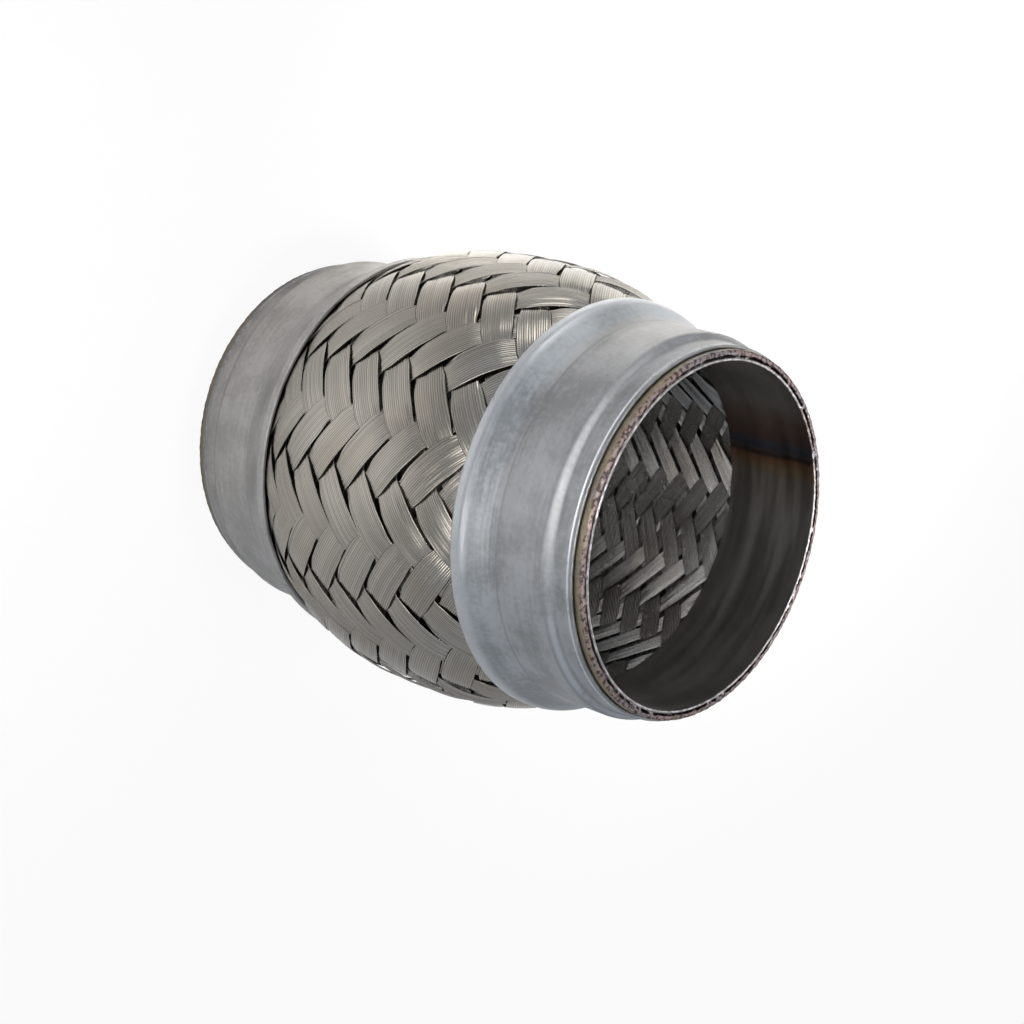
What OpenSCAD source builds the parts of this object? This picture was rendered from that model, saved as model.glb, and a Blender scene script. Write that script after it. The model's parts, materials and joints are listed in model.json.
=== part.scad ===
// Exhaust flex pipe: a thin two-ply bellows between an inner and an outer wire braid,
// held at both ends by a spun steel cap outside and a plain sleeve inside, with the
// layers welded together at each rim. It stands on one rim, and the pipe runs along Z.

/* [Pipe] */
// Length from rim to rim
length = 101.6; // [90:0.2:200]
// Inside diameter of the mouths, which is the size of exhaust pipe that slips in
bore_d = 63.5; // [45:0.1:90]

/* [Sleeves] */
// Length of the plain sleeve inside each mouth
sleeve_len = 19.5; // [12:0.5:24]
// Wall of the sleeve
sleeve_wall = 0.5; // [0.4:0.05:1]

/* [Inner braid] */
// Thickness of the inner braid where it is crushed between sleeve and bellows
inner_crush = 0.4; // [0.3:0.05:0.8]
// How far its floats stand out of its wall
inner_relief = 0.3; // [0.1:0.05:0.4]
// Ribbons that run each way
inner_ribbons = 24; // [16:2:32]
// Rows of crossings between the sleeves
inner_rows = 19; // [12:1:24]

/* [Bellows] */
// Thickness of one ply of the bellows
ply = 0.15; // [0.1:0.05:0.3]
// Number of convolutions
convolutions = 9; // [6:1:11]
// Room between the crests and the narrowest part of the outer braid
crest_room = 0.3; // [0.1:0.1:1]

/* [Outer braid] */
// Thickness of the outer braid where it is crushed under the collar
outer_crush = 0.4; // [0.3:0.05:0.8]
// Thickness of the woven wall, from its inside to the top of its floats
weave_wall = 1.25; // [1:0.05:1.8]
// How far the floats stand out of the wall
weave_relief = 0.7; // [0.2:0.05:0.8]
// How much wider in radius the middle of the braid is than its ends
bulge = 5; // [2:0.1:9]
// How full the bulge is: 2 is a plain curve, more is flatter in the middle
bulge_power = 2.8; // [2:0.1:5]
// Ribbons that run each way
ribbons = 24; // [16:2:28]
// Rows of crossings between the caps
weave_rows = 13; // [9:1:17]
// Width of a ribbon as a share of the pitch from ribbon to ribbon
ribbon_share = 0.83; // [0.7:0.01:0.92]
// Rows of gaps that go right through, in the middle where the ribbons are spread most
open_rows = 4; // [2:2:4]
// Turn of the weave about the pipe, in degrees
weave_turn = 8; // [0:1:30]

/* [Caps] */
// Wall of the spun cap
cap_wall = 0.75; // [0.5:0.05:1.2]
// Length of the narrow collar that clamps the layers
collar_len = 4; // [3:0.1:8]
// Length of the step from the collar up to the belt
step_len = 1.5; // [1.2:0.1:3]
// How far the belt stands out from the collar
belt_rise = 1.4; // [0.8:0.1:3]
// Length of the straight belt
belt_len = 10.3; // [6:0.1:14]
// How far the lip stands out from the belt
flare_rise = 3.2; // [2:0.1:5]
// Length of the flare from the belt to the lip
flare_len = 6.4; // [5:0.1:10]
// Length of the straight lip round the braid
lip_len = 1.8; // [1:0.1:4]

/* [Rim welds] */
// Height of the weld bead, from the ends of the layers to the rim
weld_h = 1.5; // [1:0.1:3]
// How far the bead stands out past the outer braid
weld_overhang = 0.2; // [0.1:0.05:0.7]
// Gap between the bead and the end of the cap
weld_gap = 0.3; // [0.05:0.05:0.5]

/* [Fits] */
// Clearance between one layer and the next
fit = 0.03; // [0.02:0.01:0.06]

/* [Hidden] */
$fn = 120;
arc_steps = 6;
middle = length / 2;

// Radii of the layers in a collar, from the bore outwards
bore_r = bore_d / 2;
sleeve_r = bore_r + sleeve_wall;
inner_braid_in = sleeve_r + fit;
inner_braid_out = inner_braid_in + inner_crush;
bellows_in = inner_braid_out + fit;
root_r = bellows_in + ply + fit / 2;
bellows_out = root_r + fit / 2 + ply;
outer_braid_in = bellows_out + fit;
outer_braid_out = outer_braid_in + outer_crush;
collar_r = outer_braid_out + fit + cap_wall;
belt_r = collar_r + belt_rise;
lip_r = belt_r + flare_rise;

// Heights along a cap, from its rim
cap_z = weld_h + weld_gap;
step_z = cap_z + collar_len;
belt_z = step_z + step_len;
flare_z = belt_z + belt_len;
lip_z = flare_z + flare_len;
cap_len = lip_z + lip_len;
step_round = 1.4;
flare_round = 10;
lip_round = 2.5;

// Edge radii where the cap's sheet was cut, and the wider one that leaves a crevice round the weld
cut_round = cap_wall / 3;
crevice_round = 0.6 * cap_wall;

// Corner radii of the rim weld, at the sleeve, outside and under its overhang
weld_in_round = 0.15;
weld_out_round = 0.4;
weld_under_round = 0.3;

// Outer braid: where its outside leaves the lips, how deep its blind gaps are, how far along
// the belt it takes to rise out of the collar, and the bellows crests that pass inside it
braid_r = lip_r - cap_wall - 2 * fit;
half_step = ribbon_share * 180 / ribbons;
crest_r = (braid_r - weave_wall) * cos(half_step) - crest_room - ply - fit / 2;
fold_pitch = (length - 2 * cap_len) / convolutions;
fold_round = min(0.24 * fold_pitch, 0.48 * (crest_r - root_r));
pit = 0.7 * (weave_wall - weave_relief);
tuck_len = 2.5;

// Inner braid: the top of its floats keeps clear of the bore
inner_half_step = ribbon_share * 180 / inner_ribbons;
inner_top = (bore_r + fit) / cos(inner_half_step);
weave_lead = 0.6;
weave_start = sleeve_len + weave_lead;

function unit(v) = v / norm(v);
function wrap(x, m) = x - m * floor(x / m);
function reversed(list) = [for (i = [len(list) - 1:-1:0]) list[i]];

// The arc of radius r that rounds the corner b between a and c
function rounded(a, b, c, r) =
    let (to_a = unit(a - b), to_c = unit(c - b),
         half = acos(to_a * to_c) / 2,
         centre = b + unit(to_a + to_c) * r / sin(half),
         first = b + to_a * r / tan(half) - centre,
         last = b + to_c * r / tan(half) - centre,
         start = atan2(first[1], first[0]),
         turn = atan2(first[0] * last[1] - first[1] * last[0], first * last))
    [for (s = [0:arc_steps]) let (t = start + turn * s / arc_steps) centre + r * [cos(t), sin(t)]];

// A line through the points with every inner corner rounded
function rounded_line(points, radii) =
    concat([points[0]],
           [for (i = [1:len(points) - 2])
               each rounded(points[i - 1], points[i], points[i + 1], radii[i - 1])],
           [points[len(points) - 1]]);

// The line moved sideways by d, away from the axis where it runs upwards
function beside(line, d) =
    let (last = len(line) - 1)
    [for (i = [0:last]) let (along = unit(line[min(i + 1, last)] - line[max(i - 1, 0)]))
        line[i] + d * [along[1], -along[0]]];

// The points of a line without its two ends
function inner_points(line) = [for (i = [1:len(line) - 2]) line[i]];

// The section of a sheet that lies from d1 to d2 beside the line
function sheet(line, d1, d2) = concat(beside(line, d1), reversed(beside(line, d2)));

// Outside of a cap from its collar to its lip, as radius and height
cap_line = rounded_line(
    [[collar_r, cap_z], [collar_r, step_z], [belt_r, belt_z],
     [belt_r, flare_z], [lip_r, lip_z], [lip_r, cap_len]],
    [step_round, step_round, flare_round, lip_round]);

// Section of a cap, with its four cut edges rounded
cap_section =
    let (outside = cap_line, inside = reversed(beside(cap_line, -cap_wall)), last = len(cap_line) - 1)
    concat(rounded(inside[last], outside[0], outside[1], cut_round),
           inner_points(outside),
           rounded(outside[last - 1], outside[last], inside[0], cut_round),
           rounded(outside[last], inside[0], inside[1], cut_round),
           inner_points(inside),
           rounded(inside[last - 1], inside[last], outside[0], crevice_round));

// Middle of the bellows wall: a straight cuff, the round folds, and a cuff again
fold_line = rounded_line(
    concat([[root_r, weld_h]],
           [for (i = [0:convolutions - 1])
               let (z = cap_len + (i + 0.25) * fold_pitch, top = z + fold_pitch / 2)
               each [[root_r, z], [crest_r, z], [crest_r, top], [root_r, top]]],
           [[root_r, length - weld_h]]),
    [for (i = [1:4 * convolutions]) fold_round]);

// Section of a rim weld, a low bead that overhangs the crushed layers
weld_in = sleeve_r + fit;
weld_out = outer_braid_out + weld_overhang;
weld_side_h = 0.6 * weld_h;
weld_section = rounded_line(
    [[weld_in, weld_h], [weld_in, 0], [weld_out, 0], [weld_out, weld_side_h], [outer_braid_out, weld_h]],
    [weld_in_round, weld_out_round, weld_under_round]);

// The weave is a lattice of ribbon edges. Column p counts the edges of the ribbons that climb
// one way, and p - d those that climb the other way, so d counts up the pipe. An even number
// is the first edge of a ribbon, and an odd one its second edge.
function lattice_z(p, d, z0, row_h) =
    let (q = p - d, i = floor(p / 2), j = floor(q / 2))
    z0 + row_h * (i - j + (p - 2 * i - q + 2 * j) * ribbon_share);
function lattice_angle(p, d, n) =
    let (q = p - d, i = floor(p / 2), j = floor(q / 2))
    (i + j + (p - 2 * i + q - 2 * j) * ribbon_share) * 180 / n;

// Height of a float at one ribbon corner, 0 where it dives and 1 in its middle. Each ribbon
// passes over two of those that cross it and then under two, which makes the herringbone.
function float_height(p, d) =
    let (q = p - d, i = floor(p / 2), j = floor(q / 2), a = p - 2 * i, b = q - 2 * j)
    [a, 1 - a, b, 1 - b][wrap(i + j, 4)];

function polar(r, angle, z) = [r * cos(angle), r * sin(angle), z];

// Points of a woven face, column by column: plain rings, the lattice, and plain rings again.
// A ring is a radius and a height, and skin gives the lattice its radius.
function woven_points(n, rows, z0, row_h, low_rings, high_rings, skin) =
    [for (p = [0:2 * n - 1]) each concat(
        [for (ring = low_rings) polar(ring[0], (p - 0.5 + ribbon_share) * 180 / n, ring[1])],
        [for (d = [0:2 * rows]) let (z = lattice_z(p, d, z0, row_h))
            polar(skin(z, float_height(p, d)), lattice_angle(p, d, n), z)],
        [for (ring = high_rings) polar(ring[0], (p - rows - 0.5 + ribbon_share) * 180 / n, ring[1])])];

// Is the cell above column p in row d a gap between four ribbons, and does it go through?
function is_gap(p, d) = p % 2 == 1 && d % 2 == 0;
function is_open(d, rows, through) = abs(d - rows) < through;

// Bottoms of the blind gaps, one below the middle of each gap
function pit_points(n, rows, z0, row_h, bottom) =
    [for (d = [2:2:2 * rows - 2], p = [1:2:2 * n - 1]) let (z = lattice_z(p, d, z0, row_h))
        polar(bottom(z), lattice_angle(p, d, n) + (1 - ribbon_share) * 180 / n, z)];

// Faces of a woven face whose points start at base, with levels points in each column.
// Blind gaps fall to their bottoms, which start at pits, or stay level where pits is undef.
function woven_faces(n, rows, low, levels, base, pits, through) =
    let (at = function (p, level) base + wrap(p, 2 * n) * levels + level)
    [for (p = [0:2 * n - 1]) each concat(
        [for (level = [0:levels - 2]) if (level < low || level >= low + 2 * rows)
            [at(p, level), at(p, level + 1), at(p + 1, level + 1), at(p + 1, level)]],
        [[at(p, low), at(p + 1, low + 1), at(p + 1, low)],
         [at(p, low + 2 * rows), at(p + 1, low + 2 * rows), at(p, low + 2 * rows - 1)]],
        [for (d = [1:2 * rows - 1]) let (cell = cell_corners(at, p, low + d))
            each !is_gap(p, d) ? [cell]
               : is_open(d, rows, through) ? []
               : is_undef(pits) ? [cell]
               : let (deep = pits + (d / 2 - 1) * n + (p - 1) / 2)
                 [for (k = [0:3]) [cell[k], cell[(k + 1) % 4], deep]]])];

// Corners of the cell right of column p, clockwise from outside and from its top
function cell_corners(at, p, level) =
    [at(p + 1, level + 1), at(p + 1, level), at(p, level - 1), at(p, level)];

// Faces cut into triangles that meet at their first corners, and the same faces seen from behind
function triangles(faces) = [for (face = faces, k = [1:len(face) - 2]) [face[0], face[k], face[k + 1]]];
function from_behind(faces) = [for (face = faces) reversed(face)];

// Outside of the outer braid at height z, swollen between the lips
function swell(z) = braid_r + bulge * (1 - pow(min(1, abs(z - middle) / (middle - cap_len)), bulge_power));

// Rings of the outer braid under one cap, from the rim to the belt's end, for one of its faces
function tucked_rings(collar, belt) =
    [[collar, weld_h], [collar, belt_z], [belt, belt_z + tuck_len], [belt, flare_z]];
function turned_over(rings) = [for (ring = reversed(rings)) [ring[0], length - ring[1]]];

module cap() color("lightslategray") rotate_extrude() polygon(cap_section);

module sleeve() color("dimgray")
    rotate_extrude() translate([bore_r, 0]) square([sleeve_wall, sleeve_len]);

module rim_weld() color("rosybrown") rotate_extrude() polygon(weld_section);

module at_top() translate([0, 0, length]) mirror([0, 0, 1]) children();

module top_cap() at_top() cap();
module bottom_cap() cap();
module top_sleeve() at_top() sleeve();
module bottom_sleeve() sleeve();
module top_rim_weld() at_top() rim_weld();
module bottom_rim_weld() rim_weld();

module bellows_outer_ply() color("silver")
    rotate_extrude() polygon(sheet(fold_line, fit / 2 + ply, fit / 2));
module bellows_inner_ply() color("darkgray")
    rotate_extrude() polygon(sheet(fold_line, -fit / 2, -fit / 2 - ply));

// The woven wall has its lattice on both faces, so the open gaps join them
module outer_braid() {
    n = ribbons;
    row_h = (length - 2 * cap_len) / weave_rows;
    belt_in = belt_r - cap_wall - 2 * fit;
    out_rings = tucked_rings(outer_braid_out, belt_in);
    in_rings = tucked_rings(outer_braid_in / cos(90 / n), belt_in - outer_crush);
    low = len(out_rings);
    levels = 2 * low + 2 * weave_rows + 1;
    face_points = 2 * n * levels;
    out_skin = function (z, height) swell(z) - weave_relief * (1 - height);
    in_skin = function (z, height) swell(z) - weave_wall;
    points = concat(
        woven_points(n, weave_rows, cap_len, row_h, out_rings, turned_over(out_rings), out_skin),
        woven_points(n, weave_rows, cap_len, row_h, in_rings, turned_over(in_rings), in_skin),
        pit_points(n, weave_rows, cap_len, row_h, function (z) swell(z) - weave_relief - pit));
    out_faces = woven_faces(n, weave_rows, low, levels, 0, 2 * face_points, open_rows);
    in_faces = woven_faces(n, weave_rows, low, levels, face_points, undef, open_rows);
    at = function (p, level) wrap(p, 2 * n) * levels + level;
    gap_walls = [for (d = [2:2:2 * weave_rows - 2], p = [1:2:2 * n - 1])
        if (is_open(d, weave_rows, open_rows)) let (cell = cell_corners(at, p, low + d))
        for (k = [0:3]) let (from = cell[k], to = cell[(k + 1) % 4])
            [from, to, to + face_points, from + face_points]];
    ends = [for (p = [0:2 * n - 1]) each [
        [at(p, 0), at(p + 1, 0), at(p + 1, 0) + face_points, at(p, 0) + face_points],
        [at(p + 1, levels - 1), at(p, levels - 1),
         at(p, levels - 1) + face_points, at(p + 1, levels - 1) + face_points]]];
    outward = triangles(concat(out_faces, gap_walls, ends));
    inward = from_behind(triangles(in_faces));
    color("gray") rotate([0, 0, weave_turn]) polyhedron(points, concat(outward, inward));
}

// Only the face towards the gas is woven, and its back lies plain against the bellows
module inner_braid() {
    n = inner_ribbons;
    row_h = (length - 2 * weave_start) / inner_rows;
    clamped = inner_braid_in / cos(90 / n);
    rings = [[clamped, weld_h], [clamped, sleeve_len + fit]];
    low = len(rings);
    levels = 2 * low + 2 * inner_rows + 1;
    back = 2 * n * levels;
    skin = function (z, height) inner_top + inner_relief * (1 - height);
    back_angle = function (p) (p - 0.5 + ribbon_share) * 180 / n;
    points = concat(
        woven_points(n, inner_rows, weave_start, row_h, rings, turned_over(rings), skin),
        [for (z = [weld_h, length - weld_h], p = [0:2 * n - 1]) polar(inner_braid_out, back_angle(p), z)]);
    front = woven_faces(n, inner_rows, low, levels, 0, undef, 0);
    at = function (p, level) wrap(p, 2 * n) * levels + level;
    low_back = function (p) back + wrap(p, 2 * n);
    high_back = function (p) back + 2 * n + wrap(p, 2 * n);
    back_faces = [for (p = [0:2 * n - 1]) [low_back(p), high_back(p), high_back(p + 1), low_back(p + 1)]];
    ends = [for (p = [0:2 * n - 1]) let (high = p + inner_rows) each [
        [low_back(p), low_back(p + 1), at(p + 1, 0), at(p, 0)],
        [high_back(p + 1), high_back(p), at(high, levels - 1), at(high + 1, levels - 1)]]];
    inward = from_behind(triangles(front));
    outward = triangles(concat(back_faces, ends));
    color("slategray") polyhedron(points, concat(inward, outward));
}

top_cap();
bottom_cap();
outer_braid();
bellows_outer_ply();
bellows_inner_ply();
inner_braid();
top_sleeve();
bottom_sleeve();
top_rim_weld();
bottom_rim_weld();
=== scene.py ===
import json
import math

import bpy
import numpy as np
from mathutils import Matrix, Vector


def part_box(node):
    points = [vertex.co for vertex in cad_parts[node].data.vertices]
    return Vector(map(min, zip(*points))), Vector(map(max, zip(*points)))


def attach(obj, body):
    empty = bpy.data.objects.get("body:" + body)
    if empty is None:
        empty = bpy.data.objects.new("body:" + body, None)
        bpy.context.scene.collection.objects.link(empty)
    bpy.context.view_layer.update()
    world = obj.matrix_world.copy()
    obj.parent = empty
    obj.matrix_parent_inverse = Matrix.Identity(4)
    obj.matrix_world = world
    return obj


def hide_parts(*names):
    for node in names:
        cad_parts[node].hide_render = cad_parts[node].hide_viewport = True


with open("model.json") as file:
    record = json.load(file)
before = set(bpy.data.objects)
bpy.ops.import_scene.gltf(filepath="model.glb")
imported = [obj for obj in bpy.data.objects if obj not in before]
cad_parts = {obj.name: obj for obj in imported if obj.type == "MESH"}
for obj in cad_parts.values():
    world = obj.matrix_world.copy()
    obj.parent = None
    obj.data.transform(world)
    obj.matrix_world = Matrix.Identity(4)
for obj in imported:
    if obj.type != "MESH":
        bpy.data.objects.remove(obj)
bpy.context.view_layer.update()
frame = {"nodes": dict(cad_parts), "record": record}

picture_px = 1024
focal_px = 2049.5
sensor_mm = 36.0
mouth_right, mouth_down, mouth_ahead = 0.03474, 0.00463, 0.36230
pipe_yaw, pipe_pitch, pipe_spin = math.radians(47.88), math.radians(12.85), math.radians(-80.0)

rim_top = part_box("top_rim_weld")[1].z
to_mouth = Vector((math.sin(pipe_yaw) * math.cos(pipe_pitch), math.sin(pipe_pitch),
                   -math.cos(pipe_yaw) * math.cos(pipe_pitch)))
first_side = Vector((0, 1, 0)).cross(to_mouth).normalized()
second_side = to_mouth.cross(first_side)
view_to_pipe = Matrix.Rotation(pipe_spin, 3, "Z") @ Matrix((first_side, second_side, to_mouth))
view_axes = (view_to_pipe.col[0], -view_to_pipe.col[1], -view_to_pipe.col[2])
eye = Vector((0, 0, rim_top)) - view_to_pipe @ Vector((mouth_right, mouth_down, mouth_ahead))

camera = bpy.data.objects.new("camera", bpy.data.cameras.new("camera"))
camera.data.sensor_width = sensor_mm
camera.data.lens = focal_px * sensor_mm / picture_px
camera.data.clip_start, camera.data.clip_end = 0.01, 50.0
camera.matrix_world = Matrix.Translation(eye) @ Matrix(view_axes).transposed().to_4x4()
bpy.context.scene.collection.objects.link(camera)
bpy.context.scene.camera = camera


# The bellows is two thin stainless plies that were pressed together into round folds, and it
# keeps the gas in. It lies between the braids and is welded to them at both rims, so only its
# crests show, through the gaps of the outer braid. Its steel is coloured darker than the
# braids', as painted shade in those gaps.
class Shade:
    """An output of a material's nodes. Sums with it add Math nodes to the same material."""

    def __init__(self, tree, socket=None):
        self.tree = tree
        self.socket = socket

    def node(self, kind, settings, sockets, output=0):
        made = self.tree.nodes.new(kind)
        for name, value in settings.items():
            if name == "stops":
                ends = made.color_ramp.elements
                ends[0].position, ends[0].color = value[0]
                ends[1].position, ends[1].color = value[-1]
                for place, colour in value[1:-1]:
                    ends.new(place).color = colour
            else:
                setattr(made, name, value)
        for key, value in sockets.items():
            if isinstance(value, Shade):
                self.tree.links.new(value.socket, made.inputs[key])
            else:
                made.inputs[key].default_value = value
        return Shade(self.tree, made.outputs[output] if made.outputs else None)

    def sum(self, operation, first, second=0.0):
        return self.node("ShaderNodeMath", {"operation": operation}, {0: first, 1: second})

    def __add__(self, other):
        return self.sum("ADD", self, other)

    def __radd__(self, other):
        return self.sum("ADD", other, self)

    def __sub__(self, other):
        return self.sum("SUBTRACT", self, other)

    def __rsub__(self, other):
        return self.sum("SUBTRACT", other, self)

    def __mul__(self, other):
        return self.sum("MULTIPLY", self, other)

    def __rmul__(self, other):
        return self.sum("MULTIPLY", other, self)

    def __truediv__(self, other):
        return self.sum("DIVIDE", self, other)

    def __rtruediv__(self, other):
        return self.sum("DIVIDE", other, self)


def bare_material(name):
    material = bpy.data.materials.new(name)
    material.use_nodes = True
    material.node_tree.nodes.clear()
    return material, Shade(material.node_tree)


def place_on(start):
    return start.node("ShaderNodeTexCoord", {}, {}, "Object")


def grain(place, scale, detail=3.0, stretch=(1.0, 1.0, 1.0)):
    """Noise with this many cells to the metre, drawn out along the axes with a small stretch."""
    spread = place.node("ShaderNodeVectorMath", {"operation": "MULTIPLY"}, {0: place, 1: stretch})
    return place.node("ShaderNodeTexNoise", {}, {"Vector": spread, "Scale": scale, "Detail": detail})


def rise(value, low, high, to_low=0.0, to_high=1.0):
    """The value carried smoothly from one span to another."""
    return value.node("ShaderNodeMapRange", {"interpolation_type": "SMOOTHSTEP"},
                      {"Value": value, "From Min": low, "From Max": high,
                       "To Min": to_low, "To Max": to_high})


def tinted(share, first, second):
    return share.node("ShaderNodeMix", {"data_type": "RGBA"}, {0: share, 6: first, 7: second}, 2)


def dented(height, depth):
    return height.node("ShaderNodeBump", {}, {"Strength": 1.0, "Distance": depth, "Height": height})


def finish_metal(start, sockets):
    shader = start.node("ShaderNodeBsdfPrincipled", {}, {"Metallic": 1.0, **sockets})
    start.node("ShaderNodeOutputMaterial", {}, {"Surface": shader})


def repaint(node, material):
    """Gives a solid of the frame its finish."""
    coats = frame["nodes"][node].data.materials
    coats.clear()
    coats.append(material)


# Both bellows tones are darker than the braids' steel: painted shade for the gaps it shows through.
bellows_dark, bellows_light = (0.16, 0.155, 0.15, 1), (0.30, 0.29, 0.28, 1)
bellows_steel, start = bare_material("bellows_steel")
mottle = grain(place_on(start), 220.0)
finish_metal(start, {"Base Color": tinted(rise(mottle, 0.35, 0.65), bellows_dark, bellows_light),
                     "Roughness": rise(mottle, 0.3, 0.7, 0.3, 0.5)})
repaint("bellows_outer_ply", bellows_steel)
repaint("bellows_inner_ply", bellows_steel)


# The inner braid lines the bellows and shields it from the gas. It is plaited from flat ribbons
# of fine stainless wire, each over two and under two, and both its ends are caught behind the
# sleeves. It faces the bore, and is dulled and browned by the heat of welding.
mm = 0.001
carriers = 24
ribbon_share = 0.83
sway_waves, splay_waves = (9.7, 4.3), (6.1, 2.7)
groove_luck = (0.5, 1.6)
stray_wires, loose_chance = 0.05, 0.4
back_corners = (0.98, 0.02)


def gentle(luck, along, waves):
    """A slow random sway along a ribbon, about 1 high, with waves that many rows long."""
    sway = sum(np.sin(2 * np.pi * (along / wave + luck.random())) for wave in waves)
    return sway / math.sqrt(len(waves))


def float_wave(phase):
    """Height of a ribbon along its run: 1 over the crossings, -1 under them, more between."""
    steep = 1.3
    return np.tanh(steep * np.cos(phase)) / math.tanh(steep * math.cos(math.pi / 4))


def skin(rings, turned_over, closed=False):
    """Faces of a skin through rings of points, which closes on itself or has both ends capped."""
    count, around = rings.shape[:2]
    index = np.arange(count * around).reshape(count, around)
    here, ahead = (index, np.roll(index, -1, 0)) if closed else (index[:-1], index[1:])
    faces = np.stack([here, np.roll(here, -1, 1), np.roll(ahead, -1, 1), ahead], -1).reshape(-1, 4)
    ends = [] if closed else [index[0][::-1].tolist(), index[-1].tolist()]
    return [face[::-1] if turned_over else face for face in faces.tolist() + ends]


def mesh_piece(name, points, faces, **point_values):
    mesh = bpy.data.meshes.new(name)
    mesh.from_pydata(points, [], faces)
    for key, values in point_values.items():
        mesh.attributes.new(key, "FLOAT", "POINT").data.foreach_set("value", values.astype(np.float32))
    mesh.shade_smooth()
    piece = bpy.data.objects.new(name, mesh)
    bpy.context.scene.collection.objects.link(piece)
    return piece


def plait(name, climb, weave, luck):
    """One mesh of all the ribbons that climb one way round a braid.

    A ribbon's section has two points to each wire, a groove and a crest, and two on its back.
    Its share and sway are in rows of crossings. Its splay, its loose edges and its neck, where it
    dives under, are shares of its width.
    """
    wires = weave["wires"]
    span = weave["rows"] + 2 * weave["overrun"]
    along = np.linspace(0, span, round(span * weave["steps"]) + 1) - weave["overrun"]
    point = np.arange(2 * wires + 1)
    wire = np.minimum(point // 2, wires - 1)
    is_groove = (point % 2 == 0).astype(float)
    across = np.concatenate([point / (2 * wires), back_corners]) - 0.5
    crown = weave["crown"] * (2 * across) ** 2
    first_over = 0.5 if climb > 0 else 2.5
    points, faces, tone = [], [], []
    for number in range(carriers):
        depth = weave["groove"] * is_groove * luck.uniform(*groove_luck, point.size)
        depth = depth - luck.normal(0.0, weave["wire_luck"], wires)[wire]
        depth = np.concatenate([depth, [weave["thickness"]] * 2]) + crown
        sway = weave["sway"] * gentle(luck, along, sway_waves)
        phase = np.pi / 2 * (2 * number + climb * along - first_over)
        width = weave["share"] * (1 + weave["splay"] * gentle(luck, along, splay_waves))
        lay = across + luck.normal(0.0, stray_wires / wires, across.size)
        loose = weave["loose"] * (luck.random(2) < loose_chance)
        lay[[0, 1]] -= loose[0]
        lay[[-4, -3]] += loose[1]
        depth[[2, -5]] += weave["thickness"] * (loose > 0)
        bunched = weave["neck"] * np.sin(phase)[:, None] ** 12 * (2 * lay) ** 4
        side = number + ribbon_share / 2 + sway[:, None] + lay * width[:, None] * (1 - bunched)
        run = number + ribbon_share / 2 + climb * along[:, None]
        first, second = (run, side) if climb > 0 else (side, run)
        angle = np.radians((first + second) * 180 / carriers + weave["turn"])
        height = weave["low"] + weave["row"] * (first - second)
        lift = weave["swing"](height) * float_wave(phase)[:, None] - depth
        radius = weave["surface"](height) + weave["face"] * lift
        rings = np.stack([radius * np.cos(angle), radius * np.sin(angle), height], -1)
        base = number * along.size * across.size
        faces += [[base + corner for corner in face] for face in skin(rings, weave["face"] < 0)]
        points.append(rings.reshape(-1, 3))
        shade = np.append(luck.random(wires)[wire], [0.5, 0.5])
        tone.append(np.tile(shade, along.size))
    ring_count = carriers * along.size
    return mesh_piece(name, np.concatenate(points), faces, tone=np.concatenate(tone),
                      groove=np.tile(np.append(is_groove, [1.0, 1.0]), ring_count),
                      wire=np.tile(np.append(point / 2, [wires, 0]), ring_count))


def carried(start, key):
    """A value that the mesh carries at its points."""
    return start.node("ShaderNodeAttribute", {"attribute_name": key}, {}, "Fac")


def wire_finish(name, dark, light, brown, groove_shade_colour, rough, roundness):
    """Bundled round wire: each has its own tone, with painted shade in the grooves between and browner
    patches.
    """
    material, start = bare_material(name)
    place = place_on(start)
    patch = grain(place, 60.0, 2.0)
    fine = grain(place, 300.0, 2.0)
    colour = tinted(carried(start, "tone"), dark, light)
    colour = tinted(rise(patch, 0.45, 0.75, 0.0, 0.6), colour, brown)
    # The grooves between wires are darkened towards the groove colour: painted shade.
    colour = tinted(carried(start, "groove") * 0.6, colour, groove_shade_colour)
    over_wire = start.sum("FRACT", carried(start, "wire"))
    finish_metal(start, {"Base Color": colour,
                         "Roughness": rise(fine, 0.25, 0.75, rough - 0.06, rough + 0.06),
                         "Normal": dented(4 * over_wire * (1 - over_wire), roundness)})
    return material


sleeve_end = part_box("bottom_sleeve")[1].z
inner_rows = 24
inner_lead = 0.6 * mm
inner_mid = 32.2 * mm
inner_swing = 0.25 * mm
tuck_out, tuck_length, tuck_swing = 0.25 * mm, 2.0 * mm, 0.3
inner_low = sleeve_end + inner_lead
inner_high = rim_top - inner_low


def tucked(height):
    """0 behind the sleeves, 1 clear of them."""
    clear = np.minimum(height - sleeve_end, rim_top - sleeve_end - height)
    return np.clip(clear / tuck_length, 0.0, 1.0)


inner_weave = {
    "low": inner_low, "row": (inner_high - inner_low) / inner_rows, "rows": inner_rows, "turn": 0.0,
    "share": 0.80, "neck": 0.10, "wires": 11, "steps": 5, "overrun": 0.5, "face": -1,
    "surface": lambda height: inner_mid + tuck_out * (1 - tucked(height)),
    "swing": lambda height: inner_swing * (tuck_swing + (1 - tuck_swing) * tucked(height)),
    "groove": 0.05 * mm, "crown": 0.03 * mm, "thickness": 0.08 * mm, "wire_luck": 0.005 * mm,
    "sway": 0.015, "splay": 0.02, "loose": 0.02,
}
inner_wire = wire_finish("inner_braid_wire", dark=(0.52, 0.51, 0.50, 1), light=(0.70, 0.69, 0.68, 1),
                         brown=(0.34, 0.30, 0.26, 1), groove_shade_colour=(0.06, 0.06, 0.06, 1),
                         rough=0.24, roundness=0.1 * mm)
for climb, name in ((1, "inner_braid_right_hand"), (-1, "inner_braid_left_hand")):
    braid = plait(name, climb, inner_weave, np.random.default_rng(20 + climb))
    braid.data.materials.append(inner_wire)
    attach(braid, "root")
    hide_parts("inner_braid")


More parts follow.
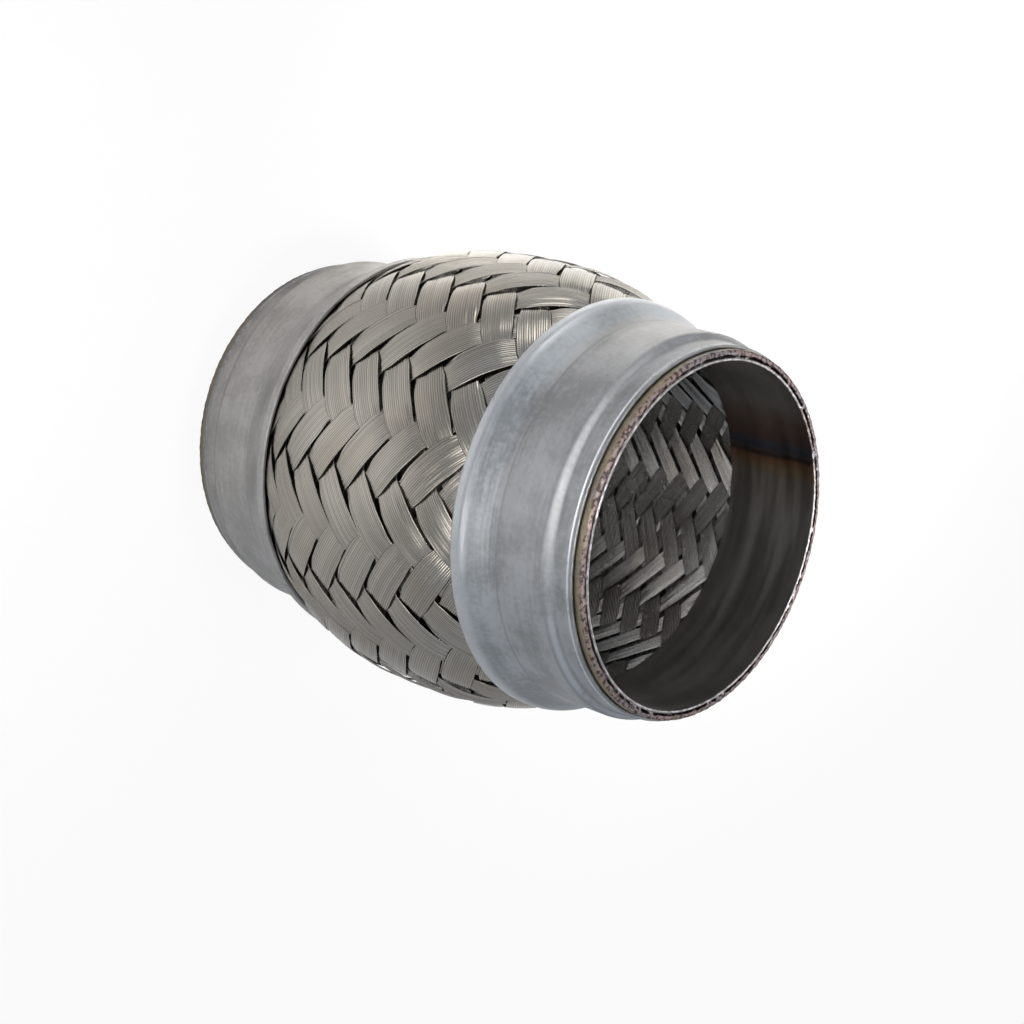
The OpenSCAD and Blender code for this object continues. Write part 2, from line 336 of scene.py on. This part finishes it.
# The outer braid keeps the bellows from being stretched, and is the pipe's armour. Its flat
# ribbons of bright stainless wire are plaited over two and under two, and it was pushed together
# so that it swells between the caps. Both ends run in under the flared lips.
lip_low, lip_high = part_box("bottom_cap")[1].z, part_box("top_cap")[0].z
braid_middle = (lip_low + lip_high) / 2
braid_half = (lip_high - lip_low) / 2
braid_rows = 13
braid_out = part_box("outer_braid")[1].x
bulge = 5.0 * mm
bulge_power = 2.8
braid_swing = 0.45 * mm
braid_sink = 0.56 * mm


def swelling(height):
    """Middle of the braid's thickness, wide between the lips and drawn in under them."""
    reach = np.abs(height - braid_middle) / braid_half
    return braid_out - braid_sink - bulge * reach ** bulge_power


outer_weave = {
    "low": lip_low, "row": 2 * braid_half / braid_rows, "rows": braid_rows, "turn": 8.0,
    "share": 0.935, "neck": 0.15, "wires": 14, "steps": 8, "overrun": 0.75, "face": 1,
    "surface": swelling, "swing": lambda height: braid_swing,
    "groove": 0.07 * mm, "crown": 0.06 * mm, "thickness": 0.15 * mm, "wire_luck": 0.008 * mm,
    "sway": 0.015, "splay": 0.02, "loose": 0.04,
}
braid_wire = wire_finish("braid_wire", dark=(0.50, 0.47, 0.42, 1), light=(0.64, 0.605, 0.545, 1),
                         brown=(0.50, 0.44, 0.37, 1), groove_shade_colour=(0.10, 0.095, 0.09, 1),
                         rough=0.20, roundness=0.025 * mm)
for climb, name in ((1, "outer_braid_right_hand"), (-1, "outer_braid_left_hand")):
    braid = plait(name, climb, outer_weave, np.random.default_rng(40 + climb))
    braid.data.materials.append(braid_wire)
    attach(braid, "root")
    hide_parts("outer_braid")


# Each sleeve is a short plain tube, rolled from stainless sheet and welded along one seam, and
# it lines a mouth where the exhaust pipe slips in. The seam and the rim weld left bands of
# straw, brown and blue on the dull grey steel.
sleeve_steps = 720
sleeve_round = 0.2 * mm
rim_wobble = 0.05 * mm
rim_waves = (3.1 * mm, 1.7 * mm, 0.9 * mm)
seam_angle = math.radians(126.0)
seam_half, seam_rise = 0.8 * mm, 0.07 * mm
bore = frame["record"]["mounts"][0]["dims"]["r_mm"] * mm
sleeve_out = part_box("top_sleeve")[1].x


def turns(steps):
    return np.arange(steps) * 2 * np.pi / steps


def round_ripple(luck, angle, radius, waves):
    """A random ripple round a ring, about 1 high, with waves of these lengths."""
    total = np.zeros_like(angle)
    for wave in waves:
        count = round(2 * np.pi * radius / wave * luck.uniform(0.9, 1.1))
        total += np.sin(count * angle + luck.uniform(0, 2 * np.pi))
    return total / math.sqrt(len(waves))


def revolved(angle, radius, height):
    return np.stack([radius * np.cos(angle), radius * np.sin(angle), height + 0 * angle], -1)


def sleeve_rings(luck):
    """Rings of one sleeve, with depths counted from its rim into the pipe."""
    angle = turns(sleeve_steps)[:, None]
    bend = np.radians(np.linspace(0, 90, 4))
    wall = np.array([sleeve_end, sleeve_end - 0.05 * mm, sleeve_end / 2, 2 * sleeve_round])
    radius = np.concatenate([bore + 0 * wall, bore + sleeve_round * (1 - np.cos(bend)),
                             sleeve_out - sleeve_round * (1 - np.sin(bend)), sleeve_out + 0 * wall])
    depth = np.concatenate([wall, sleeve_round * (1 - np.sin(bend)),
                            sleeve_round * (1 - np.cos(bend)), wall[::-1]])
    from_seam = (angle - seam_angle) * bore / seam_half
    bead = seam_rise * np.exp(-from_seam ** 2) * (radius < bore + sleeve_round)
    ripple = round_ripple(luck, angle, bore, rim_waves).clip(-1, 1)
    return angle, radius - bead, depth + rim_wobble * (1 + ripple) * (depth < sleeve_round / 2)


def part_of(place, axis):
    return place.node("ShaderNodeSeparateXYZ", {}, {0: place}, axis)


def from_mid_length(place):
    """How far a spot is from the middle of the pipe's length, towards either end."""
    return place.sum("ABSOLUTE", part_of(place, "Z") - rim_top / 2)


def stained(colour, tint):
    return colour.node("ShaderNodeMix", {"data_type": "RGBA", "blend_type": "MULTIPLY"},
                       {0: 1.0, 6: colour, 7: tint}, 2)


sleeve_dark, sleeve_light = (0.26, 0.245, 0.24, 1), (0.37, 0.355, 0.34, 1)
rim_highlight_colour = (0.78, 0.73, 0.75, 1)
seam_tints = [(degrees / 360 + 0.5, (*tint, 1)) for degrees, tint in (
    (105, (1.0, 1.0, 1.0)), (117, (1.0, 0.93, 0.84)), (121, (1.05, 0.78, 0.52)),
    (124, (0.95, 0.55, 0.34)), (125, (0.30, 0.21, 0.18)), (126.5, (0.42, 0.38, 0.38)),
    (127.5, (0.34, 0.36, 0.46)), (129.5, (0.45, 0.48, 0.60)), (131, (0.62, 0.46, 0.42)),
    (140, (0.80, 0.62, 0.55)), (150, (1.0, 0.98, 0.95)))]
sleeve_steel, start = bare_material("sleeve_steel")
place = place_on(start)
turn = start.sum("ARCTAN2", part_of(place, "Y"), part_of(place, "X")) / (2 * math.pi) + 0.5
streak = grain(place, 50.0, 4.0, (1.0, 1.0, 10.0))
cloud = grain(place, 70.0, 3.0)
steel = tinted(rise(cloud * 0.5 + streak * 0.5, 0.35, 0.65), sleeve_dark, sleeve_light)
wavy_turn = turn + (cloud - 0.5) * 0.012
steel = stained(steel, start.node("ShaderNodeValToRGB", {"stops": seam_tints}, {"Fac": wavy_turn}))
# The last fraction of a millimetre at the rim is coloured near-white in speckles: a painted highlight.
rim_highlight = rise(from_mid_length(place), rim_top / 2 - 0.35 * mm, rim_top / 2 - 0.15 * mm)
sparkle = grain(place, 900.0, 3.0)
steel = tinted(rim_highlight * rise(sparkle, 0.4, 0.62, 0.05, 0.7), steel, rim_highlight_colour)
finish_metal(start, {"Base Color": steel, "Roughness": rise(streak, 0.3, 0.7, 0.38, 0.52),
                     "Normal": dented(streak, 0.03 * mm)})
for end, name in ((1, "top_sleeve"), (-1, "bottom_sleeve")):
    angle, radius, depth = sleeve_rings(np.random.default_rng(60 + end))
    rings = revolved(angle, radius, rim_top - depth if end > 0 else depth)
    sleeve = mesh_piece(name + "_tube", rings.reshape(-1, 3), skin(rings, end < 0, True))
    sleeve.data.materials.append(sleeve_steel)
    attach(sleeve, "root")
    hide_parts(name)


# Each cap is one ferrule spun from aluminised steel sheet: a narrow collar crushed on to the
# layers, a straight belt, and a lip flared over the end of the braid. Its satin blue-grey skin
# has faint rings from the spinning and paler blooms. Pressed lines at the flare foot and the step
# are dented in, and their dark grey is painted crease shade. The top lip and a line by the coined
# rim carry a painted highlight, the top flare a painted bluish reflection, and the caps a
# warm-to-cool tint across them that is painted reflected light.
lip_width = 1.8 * mm
top_lip_highlight = 0.8
coined = 0.9 * mm
flare_foot, step_top, step_foot, cut_edge = (
    rim_top / 2 - depth * mm for depth in (17.6, 7.15, 5.95, 1.8))
skin_dark, skin_light = (0.38, 0.38, 0.38, 1), (0.56, 0.565, 0.57, 1)
warm_light_tint, cool_light_tint, flare_sky_tint = (1.05, 1.0, 0.95, 1), (0.955, 1.0, 1.05, 1), (0.95, 1.0, 1.05, 1)
crease_shade_grey, coin_grey, highlight_white = (0.18, 0.18, 0.185, 1), (0.22, 0.225, 0.23, 1), (0.80, 0.83, 0.86, 1)


def fine_ring(from_middle, line, half):
    """A fine ring round both caps, this far from the middle of the pipe. It marks the pressed lines and
    the painted highlight line by the coined rim.
    """
    return rise(from_middle.sum("ABSOLUTE", from_middle - line), 0.2 * half, half, 1.0, 0.0)


cap_steel, start = bare_material("cap_steel")
place = place_on(start)
from_middle = from_mid_length(place)
upwards = part_of(place, "Z") / rim_top
on_top = rise(upwards, 0.4, 0.6)
rings = grain(place, 90.0, 4.0, (0.6, 0.6, 14.0))
bloom = grain(place, 130.0, 5.0)
speckle = grain(place, 1100.0, 3.0)
blotch = bloom * 0.55 + speckle * 0.25 + rings * 0.2
colour = tinted(rise(blotch, 0.38, 0.62), skin_dark, skin_light)
# Warm to cool from one side and end of the caps to the other, and bluish on the top flare: painted
# reflected light.
lean = part_of(place, "X") / (2 * braid_out) + upwards
reflected_light_tint = tinted(rise(lean, -0.4, 1.5), warm_light_tint, cool_light_tint)
on_flare = on_top * rise(from_middle, flare_foot - 3 * mm, flare_foot, 1.0, 0.0)
colour = stained(colour, tinted(on_flare, reflected_light_tint, flare_sky_tint))
# Pressed lines at the flare foot and both step edges: their dent in the bump is real, their dark grey
# is painted crease shade.
lines = fine_ring(from_middle, flare_foot, 0.35 * mm) * 0.3
lines = lines + fine_ring(from_middle, step_top, 0.45 * mm) * 0.35
lines = lines + fine_ring(from_middle, step_foot, 0.45 * mm) * 0.35
lines = lines * rise(bloom, 0.35, 0.6, 0.2, 1.0)
colour = tinted(lines, colour, crease_shade_grey)
lip = rise(from_middle, braid_half + lip_width, braid_half + 2 * lip_width, 1.0, 0.0)
lip = lip * rise(from_middle, braid_half + 0.15 * mm, braid_half + 0.4 * mm)
coin_edge = cut_edge - coined
coin = rise(from_middle, coin_edge - 0.2 * mm, coin_edge + 0.2 * mm)
# Painted highlight: near-white colour on the top lip only and on a fine line by the coined rim.
painted_highlight = lip * on_top * top_lip_highlight + fine_ring(from_middle, coin_edge, 0.4 * mm)
colour = tinted(coin * 0.35, colour, coin_grey)
colour = tinted(painted_highlight * 0.85, colour, highlight_white)
satin = rise(blotch, 0.35, 0.65, 0.38, 0.52)
height = bloom * 0.45 + rings * 0.35 + speckle * 0.12 - lines * 0.4 - coin * 2.0
finish_metal(start, {"Base Color": colour, "Roughness": satin - painted_highlight * 0.16,
                     "Normal": dented(height, 0.14 * mm)})
repaint("top_cap", cap_steel)
repaint("bottom_cap", cap_steel)


# Each rim weld is the rough bead where the ends of all the layers were fused. Its face is a
# pinkish crust with a ring of pits where the wire ends burnt away, and the heat tinted its
# outside olive, straw and violet.
weld_steps = 1440
weld_low, weld_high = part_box("top_rim_weld")
weld_out = weld_high.x
weld_depth = weld_high.z - weld_low.z
weld_in = sleeve_out + 0.03 * mm
weld_shoulder = 0.16 * mm
weld_crown, weld_sink = 0.3 * mm, 0.05 * mm
weld_sag, sag_waves = 0.06 * mm, (4.3 * mm, 1.9 * mm)
face_points = 15
# Down the outside of the bead: place in the tints, swell in shoulders, depth in weld depths.
side_lay = np.array([0.0, 0.3, 0.6, 0.85, 1.0, 1.0])
side_swell = np.array([0.6, 0.9, 1.0, 0.8, 0.1, -0.4])
side_depth = np.array([0.28, 0.5, 0.85, 1.3, 1.7, 2.0]) / 1.5
pits_around = {"count": 420, "middle": 0.16, "spread": 0.06, "length": (0.2 * mm, 0.7 * mm),
               "width": (0.08, 0.2), "height": (0.15 * mm, 0.5 * mm)}
lumps_around = {"count": 420, "middle": 0.6, "spread": 0.25, "length": (0.25 * mm, 0.7 * mm),
                "width": (0.08, 0.25), "height": (-0.04 * mm, 0.07 * mm)}
deep_pit = 0.25 * mm


def scattered(luck, angle, across, count, middle, spread, length, width, height):
    """Sum of many small round bumps, strewn along a ring about one line of its face."""
    total = np.zeros((angle.size, across.size))
    for _ in range(count):
        turned = np.angle(np.exp(1j * (angle - luck.uniform(0, 2 * np.pi))))
        away = turned * weld_out / luck.uniform(*length)
        aside = (across - luck.normal(middle, spread)) / luck.uniform(*width)
        total += luck.uniform(*height) * np.exp(-away ** 2)[:, None] * np.exp(-aside ** 2)
    return total


def weld_rings(luck):
    """Rings of one weld, with depths from its rim, and how far across and how pitted each point is."""
    angle = turns(weld_steps)
    across = np.linspace(0, 1, face_points)
    radius = weld_in + across * (weld_out - weld_shoulder - weld_in)
    crown = weld_crown * (1 - np.sin(np.pi * (0.15 + 0.75 * across)))
    pits = scattered(luck, angle, across, **pits_around)
    lumps = scattered(luck, angle, across, **lumps_around)
    face = np.maximum(crown + weld_sink + pits - lumps, 0.0)
    side_radius = weld_out - weld_shoulder + weld_shoulder * side_swell
    sag = weld_sag * round_ripple(luck, angle, weld_out, sag_waves)[:, None] * (1 - side_lay)
    all_round = np.ones((weld_steps, 1))
    radii = np.concatenate([all_round * weld_in, all_round * radius, all_round * side_radius], 1)
    depths = np.concatenate([all_round * weld_depth, face, side_depth * weld_depth + sag], 1)
    lay = np.concatenate([[0.0], across, 1 + side_lay]) * all_round
    pitted = np.pad(np.clip(pits / deep_pit, 0, 1), ((0, 0), (1, side_lay.size)))
    return angle[:, None], radii, depths, lay, pitted


crust_stops = [
    (0.0, (0.62, 0.58, 0.58, 1)), (0.07, (0.42, 0.36, 0.36, 1)), (0.13, (0.16, 0.12, 0.12, 1)),
    (0.2, (0.28, 0.21, 0.20, 1)), (0.36, (0.38, 0.30, 0.285, 1)), (0.5, (0.33, 0.26, 0.22, 1)),
    (0.6, (0.42, 0.35, 0.26, 1)), (1.0, (0.38, 0.33, 0.24, 1))]
violet, soot, pit_black = (0.30, 0.29, 0.33, 1), (0.06, 0.04, 0.04, 1), (0.012, 0.01, 0.01, 1)
weld_metal, start = bare_material("weld_metal")
place = place_on(start)
lay = carried(start, "lay")
clot = grain(place, 1300.0, 4.0)
patch = grain(place, 120.0, 2.0)
across_crust = lay * 0.5 + (clot - 0.5) * 0.08
crust = start.node("ShaderNodeValToRGB", {"stops": crust_stops}, {"Fac": across_crust})
crust = tinted(rise(patch, 0.45, 0.7, 0.0, 0.6), crust, violet)
on_face = rise(lay, 1.1, 1.5, 1.0, 0.1)
crust = tinted(rise(clot, 0.46, 0.6, 0.0, 0.85) * on_face, crust, soot)
crust = tinted(rise(carried(start, "pitted"), 0.15, 0.6, 0.0, 0.97), crust, pit_black)
finish_metal(start, {"Base Color": crust, "Roughness": rise(clot, 0.3, 0.7, 0.4, 0.62),
                     "Normal": dented(clot, 0.2 * mm)})
for end, name in ((1, "top_rim_weld"), (-1, "bottom_rim_weld")):
    angle, radius, depth, lay_values, pit_values = weld_rings(np.random.default_rng(80 + end))
    rings = revolved(angle, radius, rim_top - depth if end > 0 else depth)
    weld = mesh_piece(name + "_bead", rings.reshape(-1, 3), skin(rings, end < 0, True),
                      lay=lay_values.ravel(), pitted=pit_values.ravel())
    weld.data.materials.append(weld_metal)
    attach(weld, "root")
    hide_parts(name)


# The room is a pale floor that the pipe stands on, with gridded lamps above it and soft panels
# round it. The pipe's upright walls reflect the floor where those lamps light it, and its tilted
# faces reflect the panels. The camera sees the floor and the backdrop as white.
floor_half = 6.0
floor_grey = (0.55, 0.55, 0.55, 1)
white_to_camera, white_to_gloss = 0.93, 0.1
pure_white = {"Color": (1, 1, 1, 1), "Strength": 1.0}
floor = mesh_piece("floor", [(-floor_half, -floor_half, 0), (floor_half, -floor_half, 0),
                             (floor_half, floor_half, 0), (-floor_half, floor_half, 0)], [(0, 1, 2, 3)])
floor_paint, start = bare_material("floor_paint")


def ray_is(start, kind):
    return start.node("ShaderNodeLightPath", {}, {}, f"Is {kind} Ray")


share = ray_is(start, "Camera") * white_to_camera + ray_is(start, "Glossy") * white_to_gloss
share = share + ray_is(start, "Transmission")
lit = start.node("ShaderNodeBsdfDiffuse", {}, {"Color": floor_grey})
white = start.node("ShaderNodeEmission", {}, pure_white)
seen_floor = start.node("ShaderNodeMixShader", {}, {0: share, 1: lit, 2: white})
start.node("ShaderNodeOutputMaterial", {}, {"Surface": seen_floor})
floor.data.materials.append(floor_paint)

lamp_white = (1.0, 0.965, 0.92)
over_floor = 0.75
belly = (0.0, 0.0, 0.08)


def softbox(name, place, target, size, spread, power):
    """A soft lamp of this width and height, whose grid keeps its light within the spread."""
    lamp = bpy.data.lights.new(name, "AREA")
    lamp.shape = "RECTANGLE"
    lamp.size, lamp.size_y = size
    lamp.energy = power
    lamp.spread = math.radians(spread)
    lamp.color = lamp_white
    stand = bpy.data.objects.new(name, lamp)
    stand.location = place
    stand.rotation_euler = (Vector(target) - Vector(place)).to_track_quat("-Z", "Y").to_euler()
    bpy.context.scene.collection.objects.link(stand)


softbox("back_lamp", (-0.12, 0.17, over_floor), (-0.10, 0.13, 0.0), (0.15, 0.15), 22.0, 0.75)
softbox("far_lamp", (-0.30, 0.26, over_floor), (-0.30, 0.26, 0.0), (0.15, 0.15), 24.0, 0.9)
softbox("front_lamp", (0.0, -0.15, over_floor), (0.0, -0.12, 0.0), (0.1, 0.1), 18.0, 0.11)
softbox("low_lamp", (0.37, -0.70, 0.30), (0.0, 0.0, 0.07), (0.40, 0.12), 120.0, 0.18)
softbox("left_panel", (-0.85, -0.15, 0.10), belly, (0.5, 0.16), 180.0, 0.5)
softbox("side_panel", (-0.60, -0.45, 0.75), belly, (0.5, 0.5), 180.0, 0.6)
softbox("mouth_panel", (0.0, -0.75, 0.66), belly, (0.7, 0.3), 180.0, 1.9)
softbox("back_panel", (-0.12, 0.85, 0.55), belly, (0.5, 0.9), 180.0, 1.2)
softbox("foot_lamp", (-0.07, 0.01, over_floor), (-0.07, 0.01, 0.0), (0.03, 0.03), 5.0, 0.008)

world = bpy.data.worlds.new("room")
world.use_nodes = True
world.node_tree.nodes.clear()
start = Shade(world.node_tree)
sky = start.node("ShaderNodeBackground", {}, {"Color": (0.93, 0.98, 1.05, 1), "Strength": 0.46})
white = start.node("ShaderNodeBackground", {}, pure_white)
backdrop = start.node("ShaderNodeMixShader", {}, {0: ray_is(start, "Camera"), 1: sky, 2: white})
start.node("ShaderNodeOutputWorld", {}, {"Surface": backdrop})
bpy.context.scene.world = world
bpy.context.scene.view_settings.view_transform = "Standard"
